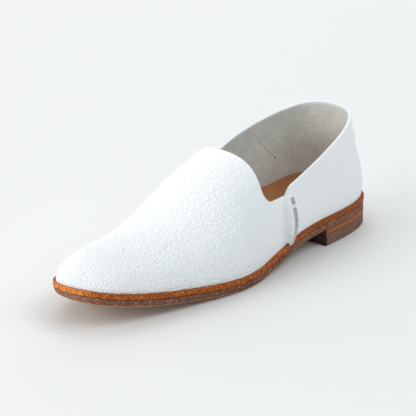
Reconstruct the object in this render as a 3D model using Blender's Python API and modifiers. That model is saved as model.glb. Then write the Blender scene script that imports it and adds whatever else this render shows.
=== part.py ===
# Left slip-on shoe: outsole, midsole, two heel layers, hollow upper, insole and two standing side seams.
# Tables and lengths are in millimetres, the finished meshes are in metres.
# Toe towards +X, the wearer's left (lateral side) towards +Y, up is +Z.
import bpy
import bmesh
import numpy as np

MM = 0.001

# Sole
SOLE_LENGTH = 259.0
HEEL_BACK_SIDE = 7.4
TOE_TIP_SIDE = -2.0
OUTSOLE_THICK = 4.4
MIDSOLE_THICK = 3.1
SOLE_GAP = 0.25
EDGE_SOFT = 0.35
OUTSOLE_INSET = 0.2

# Heel stack
HEEL_RISE = 10.5
BREAST_STATION = 63.0
LIFT_THICK = 2.9
LIFT_INSET = 0.1
TOP_LIFT_INSET = 0.2

# Forefoot: flat on the floor between these stations, then the toe spring
FLAT_START = 138.0
FLAT_END = 147.0
TOE_SPRING = 16.0
SPRING_POWER = 1.75

# Upper
WALL = 1.6
WELT = 1.7
MARGIN = 9.0
NOTCH_STATION = 117.6
NOTCH_HEIGHT = 44.4
SEAM_STATION = 104.4
SEAM_HEIGHT = 44.5
CORNER_STATION = 104.6
SEAM_CORNER = 8.3
CORNER_POWER = 2.5
RIDGE_END = 232.0
RIDGE_POWER = 1.4
SIDE_BELLY = 1.25
BELLY_REACH = 0.7
BLEND_AROUND = 50.0
BACK_AROUND = 60.0
MARGIN_MIDDLE = 0.45

# Insole
INSOLE_THICK = 1.8
INSOLE_CLEAR = 0.55
INSOLE_TOE_CLEAR = 3.2
INSOLE_TOE_REACH = 50.0
INSOLE_TOE_EASE = 45.0

# Standing side seams
SEAM_PROUD = 4.6
SEAM_THICK = 3.2
SEAM_GAP = 0.3
SEAM_FOOT_GAP = 0.6
SEAM_TOP_DROP = 0.8

# Mesh counts
DENSE = 1600
SOLE_STATIONS = 60
HEEL_STATIONS = 30
VAMP_ROWS = 30
VAMP_UP = 13
QUARTER_ROWS = 17
CORNER_ROWS = 5
LEDGE_ROWS = 4
WALL_ROWS = 9
SEAM_ROWS = 12
VAMP_UP_EASE = 1.5
REAR_EASE = 1.35
MERGE = 0.02
SOFT_ANGLE = 50.0

# Sole outline from above: a row is a station from the heel back with its two edges.
OUTLINE_COLUMNS = ("station", "lateral", "medial")
OUTLINE = [
    (2.0, 20.0, -4.2),
    (7.0, 28.2, -12.8),
    (16.0, 34.0, -20.8),
    (30.0, 38.0, -25.2),
    (46.0, 39.6, -27.8),
    (62.0, 40.0, -28.8),
    (82.0, 40.5, -27.9),
    (100.0, 41.9, -26.7),
    (114.0, 43.2, -26.9),
    (128.0, 44.5, -28.4),
    (141.0, 45.8, -30.3),
    (151.0, 46.3, -31.6),
    (162.0, 45.3, -32.8),
    (178.0, 42.3, -33.8),
    (196.0, 38.3, -33.5),
    (214.0, 34.6, -31.5),
    (230.0, 29.9, -28.0),
    (243.0, 24.4, -22.9),
    (252.0, 17.2, -16.4),
    (257.0, 8.4, -10.6),
]

# Underside of the outsole between heel breast and ball.
SHANK_COLUMNS = ("station", "height")
SHANK = [
    (50.0, 10.5),
    (63.0, 10.5),
    (77.0, 9.8),
    (91.0, 8.6),
    (106.0, 6.1),
    (121.0, 3.0),
    (138.0, 0.0),
    (146.0, 0.0),
]

# Top line of the vamp, with the fullness of the section on either side (2 is an ellipse).
RIDGE_COLUMNS = ("station", "side", "height", "lateral_full", "medial_full")
RIDGE = [
    (60.0, 3.3, 99.6, 2.69, 3.17),
    (95.0, 2.5, 84.7, 2.64, 2.89),
    (124.0, 1.4, 72.0, 2.55, 2.57),
    (150.0, -0.5, 62.5, 2.35, 2.26),
    (175.0, -1.7, 49.4, 2.17, 1.92),
    (200.0, -2.5, 41.2, 2.03, 1.72),
    (218.0, -3.3, 39.8, 1.91, 1.73),
    (232.0, -3.7, 39.0, 1.80, 1.80),
]

# Throat edge: root of the share climbed from notch to ridge, and how far it has moved forward.
THROAT_COLUMNS = ("climb", "forward")
THROAT = [
    (0.0, 0.0),
    (0.15, 2.6),
    (0.29, 5.5),
    (0.38, 6.6),
    (0.5, 6.5),
    (0.75, 5.8),
    (1.0, 6.9),
]

# Collar height by distance round the feather line from the heel back.
COLLAR_COLUMNS = ("around", "lateral", "medial")
COLLAR = [
    (0.0, 75.0, 75.0),
    (25.0, 72.7, 73.8),
    (50.0, 67.4, 69.4),
    (75.0, 59.6, 64.6),
    (100.0, 52.3, 60.2),
    (120.0, 47.8, 55.0),
]

# Lean of the quarter: inward shift by height above the feather line.
LEAN_COLUMNS = ("height", "back", "lateral", "medial")
LEAN = [
    (0.0, 0.0, 0.0, 0.0),
    (12.0, -0.3, -1.0, -0.4),
    (28.0, 4.2, 0.8, -0.2),
    (44.0, 7.7, 3.1, 1.4),
    (62.0, 11.7, 6.9, 4.8),
]

# Looks: colour, roughness
LOOKS = {
    "outsole": ((0.16, 0.105, 0.075), 0.75),
    "midsole": ((0.42, 0.16, 0.055), 0.7),
    "heel_lift": ((0.42, 0.16, 0.055), 0.7),
    "heel_top_lift": ((0.15, 0.095, 0.07), 0.8),
    "upper": ((0.82, 0.83, 0.83), 0.5),
    "insole": ((0.2, 0.085, 0.035), 0.55),
    "seam_lateral": ((0.8, 0.81, 0.81), 0.55),
    "seam_medial": ((0.8, 0.81, 0.81), 0.55),
}

for old in list(bpy.data.objects):
    bpy.data.objects.remove(old, do_unlink=True)


def column(table, columns, name):
    place = columns.index(name)
    return np.array([row[place] for row in table], dtype=float)


def spline(knots, values, at):
    """Natural cubic through a short table."""
    knots = np.asarray(knots, dtype=float)
    values = np.asarray(values, dtype=float)
    at = np.asarray(at, dtype=float)
    count = len(knots)
    step = np.diff(knots)
    matrix = np.eye(count)
    right = np.zeros(count)
    for i in range(1, count - 1):
        matrix[i, i - 1] = step[i - 1]
        matrix[i, i] = 2.0 * (step[i - 1] + step[i])
        matrix[i, i + 1] = step[i]
        rise = (values[i + 1] - values[i]) / step[i]
        right[i] = 6.0 * (rise - (values[i] - values[i - 1]) / step[i - 1])
    bend = np.linalg.solve(matrix, right)
    i = np.clip(np.searchsorted(knots, at) - 1, 0, count - 2)
    t = at - knots[i]
    slope = (values[i + 1] - values[i]) / step[i] - step[i] * (2.0 * bend[i] + bend[i + 1]) / 6.0
    return values[i] + t * (slope + t * (bend[i] / 2.0 + t * (bend[i + 1] - bend[i]) / (6.0 * step[i])))


def closed_spline(points, count):
    """Closed cubic through points, sampled evenly in its own parameter."""
    points = np.asarray(points, dtype=float)
    total = len(points)
    ring = np.vstack([points, points[:1]])
    step = np.sqrt(np.hypot(*np.diff(ring, axis=0).T))
    knots = np.concatenate([[0.0], np.cumsum(step)])
    matrix = np.zeros((total, total))
    right = np.zeros((total, 2))
    for i in range(total):
        before = step[i - 1]
        after = step[i]
        nxt = (i + 1) % total
        matrix[i, i - 1] += before
        matrix[i, i] += 2.0 * (before + after)
        matrix[i, nxt] += after
        right[i] = 6.0 * ((points[nxt] - points[i]) / after - (points[i] - points[i - 1]) / before)
    bend = np.linalg.solve(matrix, right)
    bend = np.vstack([bend, bend[:1]])
    at = np.linspace(0.0, knots[-1], count, endpoint=False)
    i = np.clip(np.searchsorted(knots, at, side="right") - 1, 0, total - 1)
    t = (at - knots[i])[:, None]
    wide = step[i][:, None]
    slope = (ring[i + 1] - ring[i]) / wide - wide * (2.0 * bend[i] + bend[i + 1]) / 6.0
    return ring[i] + t * (slope + t * (bend[i] / 2.0 + t * (bend[i + 1] - bend[i]) / (6.0 * wide)))


def smooth(t):
    t = np.clip(t, 0.0, 1.0)
    return t * t * (3.0 - 2.0 * t)


def sole_outline():
    """Closed plan outline, from the heel back along the lateral side."""
    station = column(OUTLINE, OUTLINE_COLUMNS, "station")
    lateral = column(OUTLINE, OUTLINE_COLUMNS, "lateral")
    medial = column(OUTLINE, OUTLINE_COLUMNS, "medial")
    points = [(0.0, HEEL_BACK_SIDE)]
    points += list(zip(station, lateral))
    points += [(SOLE_LENGTH, TOE_TIP_SIDE)]
    points += list(zip(station[::-1], medial[::-1]))
    return closed_spline(points, DENSE)


def inward(outline, distance):
    """Outline moved inward; distance is one value or one for each point."""
    along = np.roll(outline, -1, axis=0) - np.roll(outline, 1, axis=0)
    along = along / np.linalg.norm(along, axis=1)[:, None]
    normal = np.stack([along[:, 1], -along[:, 0]], axis=1)
    return outline + normal * np.broadcast_to(distance, len(outline))[:, None]


def two_sides(outline):
    """Split a closed outline into lateral and medial runs, both from heel back to toe tip."""
    back = int(np.argmin(outline[:, 0]))
    turned = np.roll(outline, -back, axis=0)
    tip = int(np.argmax(turned[:, 0]))
    lateral = turned[: tip + 1]
    medial = np.vstack([turned[tip:], turned[:1]])[::-1]
    return lateral, medial


def run_length(points):
    return np.concatenate([[0.0], np.cumsum(np.hypot(*np.diff(points, axis=0).T))])


def underside(station):
    """Height of the outsole's lower face above the floor."""
    station = np.asarray(station, dtype=float)
    knots = column(SHANK, SHANK_COLUMNS, "station")
    heights = column(SHANK, SHANK_COLUMNS, "height")
    shank = spline(knots, heights, np.clip(station, knots[0], FLAT_START))
    height = np.where(station < FLAT_START, shank, 0.0)
    height = np.where(station < BREAST_STATION, HEEL_RISE, height)
    reach = np.maximum(station - FLAT_END, 0.0) / (SOLE_LENGTH - FLAT_END)
    return np.where(station > FLAT_END, TOE_SPRING * reach ** SPRING_POWER, height)


MIDSOLE_BASE = OUTSOLE_THICK + SOLE_GAP
FEATHER_BASE = MIDSOLE_BASE + MIDSOLE_THICK + SOLE_GAP
EDGE = sole_outline()
FEATHER = inward(EDGE, WELT)
LATERAL, MEDIAL = two_sides(FEATHER)
LATERAL_RUN = run_length(LATERAL)
MEDIAL_RUN = run_length(MEDIAL)


def feather_height(station):
    return underside(station) + FEATHER_BASE


def along_side(side, around):
    """Feather point at a distance from the heel back; side is +1 lateral, -1 medial."""
    points, run = (LATERAL, LATERAL_RUN) if side > 0 else (MEDIAL, MEDIAL_RUN)
    return np.stack([np.interp(around, run, points[:, 0]), np.interp(around, run, points[:, 1])], axis=-1)


def around_at(side, station):
    points, run = (LATERAL, LATERAL_RUN) if side > 0 else (MEDIAL, MEDIAL_RUN)
    return float(np.interp(station, points[:, 0], run))


def side_normal(side, around):
    """Inward plan normal of the feather line."""
    around = np.asarray(around, dtype=float)
    ahead = along_side(side, around + 1.0)
    behind = along_side(side, np.maximum(around - 1.0, 0.0))
    along = ahead - behind
    along[..., 0] = np.where(around < 1.0, 0.0, along[..., 0])
    end = run_end(side)
    along[..., 0] = np.where(around > end - 1.0, 0.0, along[..., 0])
    along = along / np.linalg.norm(along, axis=-1)[..., None]
    return np.stack([along[..., 1], -along[..., 0]], axis=-1) * side


def run_end(side):
    return LATERAL_RUN[-1] if side > 0 else MEDIAL_RUN[-1]


def ridge(station):
    knots = column(RIDGE, RIDGE_COLUMNS, "station")
    sideways = spline(knots, column(RIDGE, RIDGE_COLUMNS, "side"), station)
    height = spline(knots, column(RIDGE, RIDGE_COLUMNS, "height"), station)
    return sideways, height


def fullness(side, station):
    knots = column(RIDGE, RIDGE_COLUMNS, "station")
    name = "lateral_full" if side > 0 else "medial_full"
    return spline(knots, column(RIDGE, RIDGE_COLUMNS, name), np.maximum(station, knots[0]))


def belly(rise, share):
    """Outward swell of the side wall, gone at the toe tip."""
    return SIDE_BELLY * np.sin(np.pi * np.clip(rise / BELLY_REACH, 0.0, 1.0)) * np.sin(np.pi * (0.1 + 0.9 * share))


def vamp_point(side, share, climb):
    """Vamp surface: share runs from the notch line to the toe tip, climb from feather (0) to ridge (1)."""
    start = around_at(side, NOTCH_STATION)
    foot = along_side(side, start + (run_end(side) - start) * share)
    top = NOTCH_STATION + (RIDGE_END - NOTCH_STATION) * (1.0 - (1.0 - share) ** RIDGE_POWER)
    top_side, top_height = ridge(top)
    power = 2.0 / fullness(side, top)
    turn = climb * np.pi / 2.0
    plan = 1.0 - np.cos(turn) ** power
    rise = np.sin(turn) ** power
    base = feather_height(foot[..., 0])
    x = foot[..., 0] + (top - foot[..., 0]) * plan
    y = foot[..., 1] + (top_side - foot[..., 1]) * plan + side * belly(rise, share)
    z = base + (top_height - base) * rise
    return np.stack([x, y, z], axis=-1)


def notch_climbs(side):
    """Climb values of the wall rows below the notch, evenly spaced in height."""
    top_height = float(ridge(NOTCH_STATION)[1])
    base = float(feather_height(NOTCH_STATION))
    rise = np.linspace(0.0, 1.0, WALL_ROWS) * (NOTCH_HEIGHT - base) / (top_height - base)
    return np.arcsin(rise ** (fullness(side, NOTCH_STATION) / 2.0)) * 2.0 / np.pi


def throat_share(side, climb):
    """How far the vamp's rear edge lies ahead of the notch line."""
    start = notch_climbs(side)[-1]
    root = np.sqrt(np.clip((climb - start) / (1.0 - start), 0.0, 1.0))
    knots = column(THROAT, THROAT_COLUMNS, "climb")
    moved = column(THROAT, THROAT_COLUMNS, "forward")
    knots = np.concatenate([knots, 2.0 - knots[-2:0:-1]])
    moved = np.concatenate([moved, moved[-2:0:-1]])
    forward = spline(knots, moved, root)
    length = 0.5 * (LATERAL_RUN[-1] + MEDIAL_RUN[-1])
    length -= 0.5 * (around_at(1, NOTCH_STATION) + around_at(-1, NOTCH_STATION))
    return np.where(climb <= start, 0.0, forward / length)


def vamp_grid(side):
    low = notch_climbs(side)
    high = low[-1] + (1.0 - low[-1]) * np.linspace(0.0, 1.0, VAMP_UP)[1:] ** VAMP_UP_EASE
    climb = np.concatenate([low, high])
    rear = throat_share(side, climb)
    steps = np.linspace(0.0, 1.0, VAMP_ROWS)
    share = rear[None, :] + (1.0 - rear[None, :]) * steps[:, None]
    return vamp_point(side, share, np.broadcast_to(climb, share.shape)), share


def collar_height(side, around):
    knots = column(COLLAR, COLLAR_COLUMNS, "around")
    lateral = column(COLLAR, COLLAR_COLUMNS, "lateral")
    medial = column(COLLAR, COLLAR_COLUMNS, "medial")
    whole = np.concatenate([-knots[:0:-1], knots])
    heights = np.concatenate([medial[:0:-1], lateral])
    line = spline(whole, heights, side * np.minimum(around, knots[-1]))
    corner = around_at(side, CORNER_STATION)
    notch = around_at(side, NOTCH_STATION)
    ledge = NOTCH_HEIGHT + (SEAM_HEIGHT - NOTCH_HEIGHT) * np.clip((notch - around) / (notch - corner), 0.0, 1.0)
    drop = np.clip((around - (corner - SEAM_CORNER)) / SEAM_CORNER, 0.0, 1.0) ** CORNER_POWER
    return line * (1.0 - drop) + ledge * drop


def wall_point(side, around, height):
    """Quarter surface at a distance round the feather line and a height above the floor."""
    foot = along_side(side, around)
    notch = around_at(side, NOTCH_STATION)
    back_share = smooth((notch - around) / (notch - BLEND_AROUND))
    across = np.stack([np.zeros_like(around), -side * np.ones_like(around)], axis=-1)
    normal = side_normal(side, around)
    way = across * (1.0 - back_share)[..., None] + normal * back_share[..., None]
    way = way / np.linalg.norm(way, axis=-1)[..., None]
    base = feather_height(foot[..., 0])
    above = np.maximum(height - base, 0.0)
    top_side, top_height = ridge(foot[..., 0])
    full = fullness(side, foot[..., 0])
    rise = np.clip(above / (top_height - base), 0.0, 0.9999)
    vamp_shift = np.abs(foot[..., 1] - top_side) * (1.0 - (1.0 - rise ** full) ** (1.0 / full))
    vamp_shift = vamp_shift - belly(rise, 0.0)
    knots = column(LEAN, LEAN_COLUMNS, "height")
    back_lean = spline(knots, column(LEAN, LEAN_COLUMNS, "back"), above)
    side_lean = spline(knots, column(LEAN, LEAN_COLUMNS, "lateral" if side > 0 else "medial"), above)
    to_side = smooth(around / BACK_AROUND)
    heel_shift = back_lean * (1.0 - to_side) + side_lean * to_side
    shift = vamp_shift * (1.0 - back_share) + heel_shift * back_share
    plan = foot + way * shift[..., None]
    return np.concatenate([plan, height[..., None]], axis=-1), way


def quarter_rows(side):
    """Distances round the feather line, closer together at the heel and at the seam corner."""
    corner = around_at(side, CORNER_STATION)
    notch = around_at(side, NOTCH_STATION)
    rear = (corner - SEAM_CORNER) * np.linspace(0.0, 1.0, QUARTER_ROWS) ** REAR_EASE
    turn = np.linspace(corner - SEAM_CORNER, corner, CORNER_ROWS)[1:]
    ledge = np.linspace(corner, notch, LEDGE_ROWS)[1:]
    return np.concatenate([rear, turn, ledge])


def quarter_grid(side):
    around = quarter_rows(side)
    base = feather_height(along_side(side, around)[:, 0])
    top = collar_height(side, around)
    share = np.linspace(0.0, 1.0, WALL_ROWS)
    height = base[:, None] + (top - base)[:, None] * share[None, :]
    points, way = wall_point(side, np.repeat(around[:, None], WALL_ROWS, axis=1), height)
    return points, around


def margin_row(side, around, distance):
    """Lasting margin: feather points moved inward over the sole."""
    around = np.asarray(around, dtype=float)
    foot = along_side(side, around)
    inner = foot + side_normal(side, around) * distance
    return np.concatenate([inner, feather_height(inner[..., 0])[..., None]], axis=-1)


def collect(name):
    group = bpy.data.collections.new(name)
    bpy.context.scene.collection.children.link(group)
    return group


SHOE = collect("slip_on_shoe")


def add_object(name, bm):
    bmesh.ops.remove_doubles(bm, verts=bm.verts, dist=MERGE * MM)
    bmesh.ops.recalc_face_normals(bm, faces=bm.faces)
    mesh = bpy.data.meshes.new(name)
    bm.to_mesh(mesh)
    bm.free()
    item = bpy.data.objects.new(name, mesh)
    SHOE.objects.link(item)
    colour, roughness = LOOKS[name]
    material = bpy.data.materials.new(name)
    material.use_nodes = True
    shader = material.node_tree.nodes["Principled BSDF"]
    shader.inputs["Base Color"].default_value = (*colour, 1.0)
    shader.inputs["Roughness"].default_value = roughness
    shader.inputs["Metallic"].default_value = 0.0
    mesh.materials.append(material)
    return item


def add_grid(bm, grid):
    """Quads over a grid of points; repeated points are merged later."""
    rows, cols = grid.shape[:2]
    verts = [[bm.verts.new(grid[i, j] * MM) for j in range(cols)] for i in range(rows)]
    for i in range(rows - 1):
        for j in range(cols - 1):
            bm.faces.new((verts[i][j], verts[i + 1][j], verts[i + 1][j + 1], verts[i][j + 1]))


def thicken(item, thickness, offset):
    shell = item.modifiers.new("Solidify", "SOLIDIFY")
    shell.thickness = thickness * MM
    shell.offset = offset
    shell.use_even_offset = True
    shell.use_quality_normals = True
    return shell


def soften(item, width):
    edge = item.modifiers.new("Bevel", "BEVEL")
    edge.width = width * MM
    edge.segments = 1
    edge.limit_method = "ANGLE"
    edge.angle_limit = np.radians(SOFT_ANGLE)
    return edge


def sole_strip(edge, height_at, stop=None):
    """Cross strips between the two edges of a plan outline, at heights from a function of the station."""
    lateral, medial = two_sides(edge)
    first = max(lateral[0, 0], medial[0, 0])
    last = min(lateral[-1, 0], medial[-1, 0])
    if stop is not None:
        last = stop
    count = SOLE_STATIONS if stop is None else HEEL_STATIONS
    turn = np.linspace(0.0, np.pi if stop is None else np.pi / 2.0, count)
    station = first + (last - first) * (1.0 - np.cos(turn)) / (2.0 if stop is None else 1.0)
    if stop is None:
        for mark in (BREAST_STATION, FLAT_START, FLAT_END):
            station[np.argmin(np.abs(station - mark))] = mark
    left = np.interp(station, lateral[:, 0], lateral[:, 1])
    right = np.interp(station, medial[:, 0], medial[:, 1])
    height = height_at(station)
    rows = []
    for share in (0.0, 1.0):
        rows.append(np.stack([station, left + (right - left) * share, height], axis=-1))
    return np.stack(rows, axis=1)


def add_plate(name, edge, height_at, thickness, stop=None):
    bm = bmesh.new()
    add_grid(bm, sole_strip(edge, height_at, stop))
    item = add_object(name, bm)
    for face in item.data.polygons:
        if face.normal.z < 0.0:
            face.flip()
    thicken(item, thickness, 1.0)
    soften(item, EDGE_SOFT)
    return item


# Sole layers
add_plate("outsole", inward(EDGE, OUTSOLE_INSET), underside, OUTSOLE_THICK)
add_plate("midsole", EDGE, lambda station: underside(station) + MIDSOLE_BASE, MIDSOLE_THICK)

# Heel layers
LIFT_BASE = HEEL_RISE - SOLE_GAP - LIFT_THICK
add_plate("heel_lift", inward(EDGE, LIFT_INSET), lambda station: np.full_like(station, LIFT_BASE),
          LIFT_THICK, BREAST_STATION)
add_plate("heel_top_lift", inward(EDGE, TOP_LIFT_INSET), lambda station: np.zeros_like(station),
          LIFT_BASE - SOLE_GAP, BREAST_STATION)

# Upper
MARGIN_STEPS = (0.0, MARGIN_MIDDLE * MARGIN, MARGIN)
upper_mesh = bmesh.new()
for side in (1, -1):
    vamp, share = vamp_grid(side)
    add_grid(upper_mesh, vamp)
    start = around_at(side, NOTCH_STATION)
    vamp_feet = start + (run_end(side) - start) * share[:, 0]
    quarter, quarter_feet = quarter_grid(side)
    add_grid(upper_mesh, quarter)
    for feet in (vamp_feet, quarter_feet):
        margin = np.stack([margin_row(side, feet, reach) for reach in MARGIN_STEPS], axis=1)
        add_grid(upper_mesh, margin)
upper = add_object("upper", upper_mesh)
thicken(upper, WALL, -1.0)


# Insole
def insole_outline():
    toe = smooth((FEATHER[:, 0] - (SOLE_LENGTH - INSOLE_TOE_REACH)) / INSOLE_TOE_EASE)
    return inward(FEATHER, WALL + INSOLE_CLEAR + INSOLE_TOE_CLEAR * toe)


INSOLE_BASE = FEATHER_BASE + WALL + SOLE_GAP
add_plate("insole", insole_outline(), lambda station: underside(station) + INSOLE_BASE, INSOLE_THICK)


# Standing side seams: a block that follows the wall, open to neither side
def add_seam(name, side):
    middle = around_at(side, SEAM_STATION)
    bm = bmesh.new()
    rows = []
    foot = along_side(side, np.array([middle]))
    low = float(feather_height(foot[0, 0])) + SEAM_FOOT_GAP
    for share in np.linspace(0.0, 1.0, SEAM_ROWS):
        height = low + (SEAM_HEIGHT - SEAM_TOP_DROP - low) * share
        corners = []
        for step, out in ((-0.5, SEAM_GAP), (0.5, SEAM_GAP), (0.5, SEAM_PROUD), (-0.5, SEAM_PROUD)):
            place = np.array([middle + step * SEAM_THICK])
            point, way = wall_point(side, place, np.array([height]))
            plan = point[0, :2] - way[0] * out
            corners.append(bm.verts.new((plan[0] * MM, plan[1] * MM, height * MM)))
        rows.append(corners)
    for lower, upper_row in zip(rows[:-1], rows[1:]):
        for k in range(4):
            n = (k + 1) % 4
            bm.faces.new((lower[k], lower[n], upper_row[n], upper_row[k]))
    bm.faces.new(rows[0][::-1])
    bm.faces.new(rows[-1])
    item = add_object(name, bm)
    soften(item, EDGE_SOFT)
    return item


add_seam("seam_lateral", 1)
add_seam("seam_medial", -1)


# Centre the whole shoe over the origin, standing on the floor
bpy.context.view_layer.update()
depsgraph = bpy.context.evaluated_depsgraph_get()
corners = []
for item in SHOE.objects:
    solid = item.evaluated_get(depsgraph)
    corners += [tuple(vertex.co) for vertex in solid.data.vertices]
corners = np.array(corners)
middle = 0.5 * (corners.min(axis=0) + corners.max(axis=0))
for item in SHOE.objects:
    for vertex in item.data.vertices:
        vertex.co.x -= middle[0]
        vertex.co.y -= middle[1]
    item.data.update()
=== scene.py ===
import bmesh
import bpy
import numpy as np
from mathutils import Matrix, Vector


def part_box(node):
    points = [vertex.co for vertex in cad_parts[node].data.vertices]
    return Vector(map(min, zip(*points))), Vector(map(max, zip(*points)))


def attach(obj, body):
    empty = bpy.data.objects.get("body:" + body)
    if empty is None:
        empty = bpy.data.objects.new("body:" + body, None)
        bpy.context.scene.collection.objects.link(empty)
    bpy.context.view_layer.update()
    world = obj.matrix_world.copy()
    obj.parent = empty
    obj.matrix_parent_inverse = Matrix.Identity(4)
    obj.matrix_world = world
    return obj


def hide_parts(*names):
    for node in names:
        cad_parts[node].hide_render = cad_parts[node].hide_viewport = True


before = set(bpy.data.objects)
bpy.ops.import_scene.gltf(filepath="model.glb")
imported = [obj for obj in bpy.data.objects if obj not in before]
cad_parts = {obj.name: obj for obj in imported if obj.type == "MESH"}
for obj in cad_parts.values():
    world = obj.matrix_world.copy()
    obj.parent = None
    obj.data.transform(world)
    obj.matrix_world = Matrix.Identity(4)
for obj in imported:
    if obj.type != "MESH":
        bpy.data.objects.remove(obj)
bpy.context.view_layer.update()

MM = 0.001


def table(columns, rows):
    """Short table as a dictionary: the values of each named column."""
    return dict(zip(columns, np.array(rows, dtype=float).T))


# Sole
SOLE_LENGTH = 259.0
HEEL_BACK_SIDE = 7.4
TOE_TIP_SIDE = -2.0
OUTSOLE_THICK = 4.4
MIDSOLE_THICK = 3.1
SOLE_GAP = 0.25
OUTSOLE_INSET = 0.2
TOE_TUCK = 2.6
TUCK_START = 246.0
TUCK_LENGTH = 12.0
TUCK_SIDE = 12.0
TUCK_WIDTH = 20.0
TUCK_POWER = 1.5
SOLE_ROUND = 0.45
OUTSOLE_ROUND = 1.3
BACK_SMOOTH = 2.0

# Heel stack
HEEL_RISE = 10.5
BREAST_STATION = 63.0
LIFT_THICK = 2.9
LIFT_INSET = 0.1
TOP_LIFT_INSET = 0.2
LIFT_ROUND = 0.3
TOP_LIFT_ROUND = 0.4
BREAST_FACING = 0.8

# Forefoot: flat on the floor between these stations, then the toe spring
FLAT_START = 138.0
FLAT_END = 147.0
TOE_SPRING = 16.0
SPRING_POWER = 1.75

# Upper
WALL = 1.6
WELT = 1.7
MARGIN = 7.0
RIM_ROUND = 0.7
RIM_BAND = 1.6
RIM_ANGLE = 50.0
RIM_SEGMENTS = 4
NOTCH_STATION = 117.6
NOTCH_HEIGHT = 44.4
SEAM_STATION = 104.4
SEAM_HEIGHT = 44.5
CORNER_STATION = 104.6
SEAM_CORNER = 8.3
CORNER_POWER = 2.5
RIDGE_END = 232.0
RIDGE_POWER = 1.4
RISE_LIMIT = 0.9999
SIDE_BELLY = 1.25
BELLY_REACH = 0.7
BELLY_START = 0.1
BLEND_AROUND = 50.0
BACK_AROUND = 60.0

# Insole
INSOLE_THICK = 1.8
INSOLE_CLEAR = 0.55
INSOLE_TOE_CLEAR = 3.2
INSOLE_TOE_REACH = 50.0
INSOLE_TOE_EASE = 45.0
INSOLE_DISH = 0.9
DISH_WIDTH = 50.0
INSOLE_ROUND = 0.4

# Standing side seams
SEAM_FOOT_GAP = 0.6
SEAM_TOP_DROP = 0.1
FLANGE_HALF = 1.75
FOOT_HANG = 1.1
FOOT_SHARE = 0.14
HANG_FROM = 2.0
HANG_OVER = 0.8

# Stitches and thread bars: the lift is that of a stitch along its length, in thread radii
STITCH_PITCH = 3.0
STITCH_START = 0.9
STITCH_LENGTH = 2.0
STITCH_RADIUS = 0.34
STITCH_OUT = 2.5
STITCH_LIFT = (-0.9, 0.35, 0.6, 0.6, 0.35, -0.9)
TACK_DROP = 4.6
TACK_RADIUS = 0.5
TUBE_SIDES = 8
TUBE_END = 0.45
TUBE_GUIDE = (0.31, 0.87, 0.38)

# Mesh counts, their spacing and the distance within which points are merged
DENSE = 3200
RING = 260
SIDE_ROWS = 5
TOP_TURNS = 4
LOW_TURNS = 5
CAP_COLUMNS = 11
BLUR_REACH = 3
VAMP_ROWS = 120
VAMP_UP = 44
QUARTER_ROWS = 64
CORNER_ROWS = 12
LEDGE_ROWS = 12
WALL_ROWS = 34
SEAM_ROWS = 60
UP_EASE = 1.5
REAR_EASE = 1.15
MERGE = 0.004

# Sole outline from above: a row is a station from the heel back with its two edges.
OUTLINE = table(("station", "lateral", "medial"), [
    (2.0, 20.0, -4.2),
    (7.0, 28.2, -12.8),
    (16.0, 34.0, -20.8),
    (30.0, 38.0, -25.2),
    (46.0, 39.6, -27.8),
    (62.0, 40.0, -28.8),
    (82.0, 40.5, -27.9),
    (100.0, 41.9, -26.7),
    (114.0, 43.2, -26.9),
    (128.0, 44.5, -28.4),
    (141.0, 45.8, -30.3),
    (151.0, 46.3, -31.6),
    (162.0, 45.3, -32.8),
    (178.0, 42.3, -33.8),
    (196.0, 38.3, -33.5),
    (214.0, 34.6, -31.5),
    (230.0, 29.9, -28.0),
    (243.0, 24.4, -22.9),
    (252.0, 17.2, -16.4),
    (257.0, 8.4, -10.6),
])

# Underside of the outsole between heel breast and ball.
SHANK = table(("station", "height"), [
    (50.0, 10.5),
    (63.0, 10.5),
    (77.0, 9.8),
    (91.0, 8.6),
    (106.0, 6.1),
    (121.0, 3.0),
    (138.0, 0.0),
    (146.0, 0.0),
])

# Top line of the vamp, with the fullness of the section on either side (2 is an ellipse).
RIDGE = table(("station", "side", "height", "lateral_full", "medial_full"), [
    (60.0, 3.3, 99.6, 2.69, 3.17),
    (95.0, 2.5, 84.7, 2.64, 2.89),
    (124.0, 1.4, 72.0, 2.55, 2.57),
    (150.0, -0.5, 62.5, 2.35, 2.26),
    (175.0, -1.7, 49.4, 2.17, 1.92),
    (200.0, -2.5, 41.2, 2.03, 1.72),
    (218.0, -3.3, 39.8, 1.91, 1.73),
    (232.0, -3.7, 39.0, 1.80, 1.80),
])

# Throat edge: root of the share climbed from notch to ridge, and how far it has moved forward.
THROAT = table(("climb", "forward"), [
    (0.0, 0.0),
    (0.15, 2.6),
    (0.29, 5.5),
    (0.38, 6.6),
    (0.5, 6.5),
    (0.75, 5.8),
    (1.0, 6.9),
])

# Collar height by distance round the feather line from the heel back.
COLLAR = table(("around", "lateral", "medial"), [
    (0.0, 75.0, 75.0),
    (25.0, 72.7, 73.8),
    (50.0, 67.4, 69.4),
    (75.0, 59.6, 64.6),
    (100.0, 52.3, 60.2),
    (120.0, 47.8, 55.0),
])

# Lean of the quarter: inward shift by height above the feather line.
LEAN = table(("height", "back", "lateral", "medial"), [
    (0.0, 0.0, 0.0, 0.0),
    (12.0, -0.3, -1.0, -0.4),
    (28.0, 4.2, 0.8, -0.2),
    (44.0, 7.7, 3.1, 1.4),
    (62.0, 11.7, 6.9, 4.8),
])

# Half section of a standing seam, from the wall to the middle groove: distance along the wall and outward.
FLANGE = table(("along", "out"), [
    (4.2, -0.4),
    (3.2, -0.1),
    (2.6, 0.1),
    (2.15, 0.55),
    (2.0, 1.75),
    (1.72, 2.3),
    (1.72, 2.7),
    (1.98, 3.3),
    (1.98, 4.2),
    (1.92, 4.45),
    (1.75, 4.6),
    (0.22, 4.66),
    (0.06, 4.58),
])

# Row of the half section where the cut edge starts
EDGE_FROM = 9

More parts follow.
